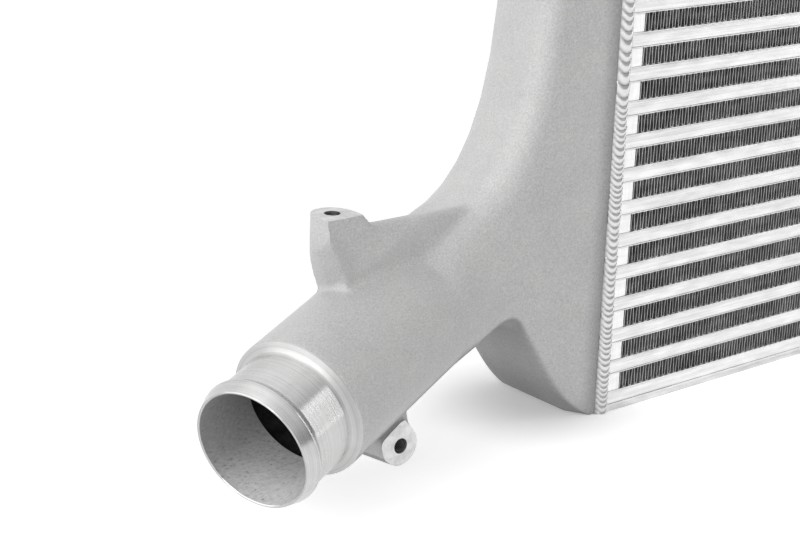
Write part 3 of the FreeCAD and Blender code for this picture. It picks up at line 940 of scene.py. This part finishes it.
# %% [markdown]
# Each air row holds one strip of foil, folded about every 2 mm. An array of one fold would do, but bending
# a flat grid into the wave keeps it one strip, as on the real core. Solidify gives the foil its thickness.
# Small random shifts keep the folds from looking machine-perfect.

# %% Folded air fins
SHORT_BAR = 11.2
FOLD = 1.99
FOIL_THICKNESS = 0.42
FIN_SETBACK = 0.6
FIN_LEAN = 0.4
FOLD_SHIFT = 0.05


def fin_strip(row):
    """One folded strip in an air row, in millimetres."""
    half = END - SHORT_BAR
    folds = int(2 * half / FOLD)
    work = bmesh.new()
    bmesh.ops.create_grid(work, x_segments=2 * folds, y_segments=1, size=1.0)
    shift = [random.uniform(-FOLD_SHIFT, FOLD_SHIFT) for _ in range(folds + 2)]
    low = FOIL_THICKNESS / 2
    high = AIR_HEIGHT - low
    for vertex in work.verts:
        fold, second = divmod(round((vertex.co.x + 1) * folds), 2)
        crest = (fold + second) * FOLD - half
        lean = FIN_LEAN * FOLD * (-1 if second else 1)
        vertex.co = Vector((min(max(crest + lean + shift[fold], -half), half),
                            vertex.co.y * (CORE_DEPTH / 2 - FIN_SETBACK),
                            air_base(row) + (high if (fold + second) % 2 else low)))
    return work


for row in range(AIR_ROWS):
    name = "fin_strip_%02d" % (row + 1)
    work = fin_strip(row)
    to_metres(work)
    piece = helper_object(to_mesh(work, "strip"))
    foil = piece.modifiers.new("foil", "SOLIDIFY")
    foil.thickness = FOIL_THICKNESS * MM
    foil.offset = 0.0
    add_piece(name, baked(piece, name), [FOIL], ["air_fin_%02d" % (row + 1)])

# %% [markdown]
# The bars are drawn, so their long edges have a small radius. A bevel on each box catches the light and
# opens a fine groove along the parting sheets, whose edges then show as bright lines, as they do on a real
# core. Long bars close the charge rows at the front and the back, and short bars close the air rows at both
# ends.

# %% Bars of the core
LONG_BAR = 6.0
BAR_EDGE = 0.55
BAR_SETBACK = 0.12
BAR_SMOOTH_ANGLE = 30
FRONT = -CORE_DEPTH / 2
charge_rows = [(charge_base(row), charge_base(row) + CHARGE_HEIGHT) for row in range(AIR_ROWS + 1)]
air_rows = [(air_base(row), air_base(row) + AIR_HEIGHT) for row in range(AIR_ROWS)]
whole_depth = (FRONT + BAR_SETBACK, -FRONT - BAR_SETBACK)


def bars(name, finish, node, rows, length, depth):
    """One bar in each row, between two places along the core and two places in its depth."""
    work = bmesh.new()
    for low, high in rows:
        start = Vector((length[0], depth[0], low))
        end = Vector((length[1], depth[1], high))
        matrix = Matrix.Translation((start + end) / 2) @ Matrix.Diagonal((*(end - start), 1))
        bmesh.ops.create_cube(work, size=1.0, matrix=matrix)
    bmesh.ops.bevel(work, geom=work.edges[:], offset=BAR_EDGE, segments=3, profile=0.5, affect="EDGES",
                    material=-1)
    to_metres(work)
    mesh = to_mesh(work, name)
    smooth_by_angle(mesh, BAR_SMOOTH_ANGLE)
    add_piece(name, mesh, [finish], [node])


bars("front_bars", BAR, "front_long_bars", charge_rows, (-END, END), (FRONT + BAR_SETBACK, FRONT + LONG_BAR))
bars("rear_bars", BAR, "rear_long_bars", charge_rows, (-END, END), (-FRONT - LONG_BAR, -FRONT - BAR_SETBACK))
bars("left_end_bars", SHORT, "left_short_bars", air_rows, (-END, -END + SHORT_BAR), whole_depth)
bars("right_end_bars", SHORT, "right_short_bars", air_rows, (END - SHORT_BAR, END), whole_depth)

# %% [markdown]
# Sheets, side plates and the turbulators deep in the charge rows are already as the real ones in the
# solids. Their forms stay untouched, and only a material is put on them.

# %% Finishes of the solids that stay
kept = {"parting_sheets": SHEET_FINISH, "top_side_plate": PLATE, "bottom_side_plate": PLATE}
for row in range(AIR_ROWS + 1):
    kept["turbulator_%02d" % (row + 1)] = FOIL
for name, finish in kept.items():
    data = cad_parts[name].data
    data.materials.clear()
    data.materials.append(finish)
print("kept solids", len(kept))

# %% [markdown]
# The part stands in a white studio, on a floor like pale paper. The floor glows a little for the eye and
# for mirror-like metal, so that it joins the white behind it. The glow is weaker round the two feet of the
# part, which paints a soft shadow there, and the same painted shadow shows in the metal that mirrors the
# floor. Matt things get none of it, or the underside would be lit from below.

# %% Floor of the studio
FOOT_PLACE = 0.27
GLOW_NEAR = 0.22
GLOW_FAR = 0.63
GLOW_EDGE = 0.2
SHADOW_START = 0.01
SHADOW_END = 0.075
EDGE_START = 0.4
EDGE_END = 1.6


def shown_rays(tree):
    """One for rays of the eye, of mirror-like metal and of glass, and zero for the light on matt things."""
    rays = add_node(tree, "ShaderNodeLightPath").outputs
    metal = math_node(tree, "MAXIMUM", rays["Is Camera Ray"], rays["Is Glossy Ray"])
    return math_node(tree, "MAXIMUM", metal, rays["Is Transmission Ray"])


def white_floor():
    material, tree, shader = new_finish("pale_paper_floor")
    shader.inputs["Base Color"].default_value = linear("F0F0F0")
    shader.inputs["Roughness"].default_value = 0.9
    split = add_node(tree, "ShaderNodeSeparateXYZ", links={"Vector": object_place(tree)}).outputs
    past_foot = math_node(tree, "SUBTRACT", math_node(tree, "ABSOLUTE", split["X"]), FOOT_PLACE)
    from_foot = add_node(tree, "ShaderNodeCombineXYZ", links={"X": past_foot, "Y": split["Y"]})
    length = add_node(tree, "ShaderNodeVectorMath", {"operation": "LENGTH"}, {0: from_foot.outputs[0]})
    distance = length.outputs["Value"]
    # Painted shadow: the glow drops round the feet.
    level = mapped(tree, distance, GLOW_NEAR, GLOW_FAR, SHADOW_START, SHADOW_END, soft=True)
    edge = mapped(tree, distance, 0.0, GLOW_EDGE, EDGE_START, EDGE_END)
    strength = math_node(tree, "ADD", level, edge)
    glow = add_node(tree, "ShaderNodeEmission", links={"Color": (1, 1, 1, 1), "Strength": strength})
    paper = shader.outputs["BSDF"]
    both = add_node(tree, "ShaderNodeAddShader", links={0: paper, 1: glow.outputs["Emission"]})
    seen = add_node(tree, "ShaderNodeMixShader", links={"Fac": shown_rays(tree), 1: paper,
                                                        2: both.outputs["Shader"]})
    tree.links.new(seen.outputs["Shader"], tree.nodes["Material Output"].inputs["Surface"])
    return material


FLOOR_HALF = 12.0
work = bmesh.new()
bmesh.ops.create_grid(work, x_segments=1, y_segments=1, size=FLOOR_HALF)
floor = bpy.data.objects.new("floor", to_mesh(work, "floor"))
bpy.context.scene.collection.objects.link(floor)
floor.data.materials.append(white_floor())
print("floor", 2 * FLOOR_HALF, "m wide")

# %% [markdown]
# Metal shows what stands round it. A photo studio has white walls, dark gaps and a bright ceiling, so the
# world blends a few directions of different brightness: each counts more, the nearer a ray points to it.
# The eye itself sees plain white, and matt things get an even, weaker light, so that the shapes keep their
# shading.

# %% World of the studio
MATT_LEVEL = 0.21
STUDIO_FOCUS = 5.0
STUDIO = [((-1, 0, 0.1), 1.05), ((-0.5, 0.85, 0.15), 0.95), ((0.35, 0.9, 0.2), 1.15),
          ((0.9, 0.4, 0.1), 0.25), ((0.75, -0.62, 0.1), 0.2), ((-0.52, -0.76, 0.3), 0.92),
          ((0.2, 0.3, 0.93), 1.4), ((-0.1, -0.5, 0.85), 0.95)]


def blended_studio(tree):
    """Brightness of the studio in the direction of a ray."""
    ray = add_node(tree, "ShaderNodeTexCoord").outputs["Generated"]
    total = weight_sum = 0.0
    for direction, level in STUDIO:
        facing = along_axis(tree, ray, Vector(direction).normalized())
        focus = math_node(tree, "MULTIPLY", facing, STUDIO_FOCUS)
        weight = math_node(tree, "EXPONENT", focus)
        total = math_node(tree, "ADD", total, math_node(tree, "MULTIPLY", weight, level))
        weight_sum = math_node(tree, "ADD", weight_sum, weight)
    return math_node(tree, "DIVIDE", total, weight_sum)


def mixed_value(tree, share, first, second):
    """Two values mixed by a share."""
    node = add_node(tree, "ShaderNodeMix", {"data_type": "FLOAT"}, {"Factor": share, 2: first, 3: second})
    return node.outputs[0]


world = bpy.data.worlds.new("studio")
bpy.context.scene.world = world
world.use_nodes = True
background = world.node_tree.nodes["Background"]
background.inputs["Color"].default_value = (1, 1, 1, 1)
eye = add_node(world.node_tree, "ShaderNodeLightPath").outputs["Is Camera Ray"]
shown = mixed_value(world.node_tree, eye, blended_studio(world.node_tree), 1.0)
strength = mixed_value(world.node_tree, shown_rays(world.node_tree), MATT_LEVEL, shown)
world.node_tree.links.new(strength, background.inputs["Strength"])
print("world", len(world.node_tree.nodes), "nodes")

# %% [markdown]
# Four softboxes shape the part: a wide one from the left, a key light above it, a small one towards the
# mouth of the pipe, and a tall strip on the right that draws the bright line down the turned neck. Each is
# a rectangle that looks at a target. Their powers were found by rendering each alone and fitting the sum to
# the photo's greys.

# %% Softboxes
LIGHTS = {"left_softbox": ((-2.4, 0.5, 1.2), (-0.3, 0, 0.15), 18, (2.2, 2.2)),
          "key_softbox": ((-1.7, -0.2, 1.85), (-0.4, 0, 0.1), 6.5, (1.0, 1.0)),
          "mouth_softbox": ((-1.75, -0.8, 0.65), (-0.45, -0.03, 0.02), 5.5, (0.7, 0.5)),
          "right_strip": ((1.16, -1.08, 0.61), (-0.46, -0.06, 0.05), 4.8, (0.34, 1.8))}
for name, (lamp_place, target, energy, size) in LIGHTS.items():
    data = bpy.data.lights.new(name, "AREA")
    data.energy = energy
    data.shape = "RECTANGLE"
    data.size, data.size_y = size
    lamp = bpy.data.objects.new(name, data)
    lamp.location = lamp_place
    lamp.rotation_euler = (Vector(target) - lamp.location).to_track_quat("-Z", "Y").to_euler()
    bpy.context.scene.collection.objects.link(lamp)
    print(name, energy, "W")

# %% [markdown]
# The camera was worked out from the straight rows of the core in the photograph. Its direction is written
# as yaw, pitch and roll, and its place, in metres, is counted from the centre of the core's lower face.

# %% Camera
YAW = math.radians(39.3562)
PITCH = math.radians(17.6231)
ROLL = math.radians(1.87176)
CAMERA_PLACE = Vector((-0.86136, -0.60707, 0.33424))
camera_data = bpy.data.cameras.new("camera")
camera_data.sensor_width = 36.0
camera_data.lens = 82.126
camera_data.clip_start = 0.05
camera_data.clip_end = 40.0
camera = bpy.data.objects.new("camera", camera_data)
forward = Vector((math.sin(YAW) * math.cos(PITCH), math.cos(YAW) * math.cos(PITCH), -math.sin(PITCH)))
level_right = Vector((math.cos(YAW), -math.sin(YAW), 0))
level_up = level_right.cross(forward)
right = level_right * math.cos(ROLL) + level_up * math.sin(ROLL)
up = level_up * math.cos(ROLL) - level_right * math.sin(ROLL)
turned = Matrix((right, up, -forward)).transposed().to_4x4()
camera.matrix_world = Matrix.Translation(CAMERA_PLACE) @ turned
bpy.context.scene.collection.objects.link(camera)
bpy.context.scene.camera = camera
bpy.context.scene.view_settings.view_transform = "Standard"
print("camera", camera_data.lens, "mm lens")

# %% [markdown]
# At the end the view layer is brought up to date.

# %% Last update of the view layer
bpy.context.view_layer.update()
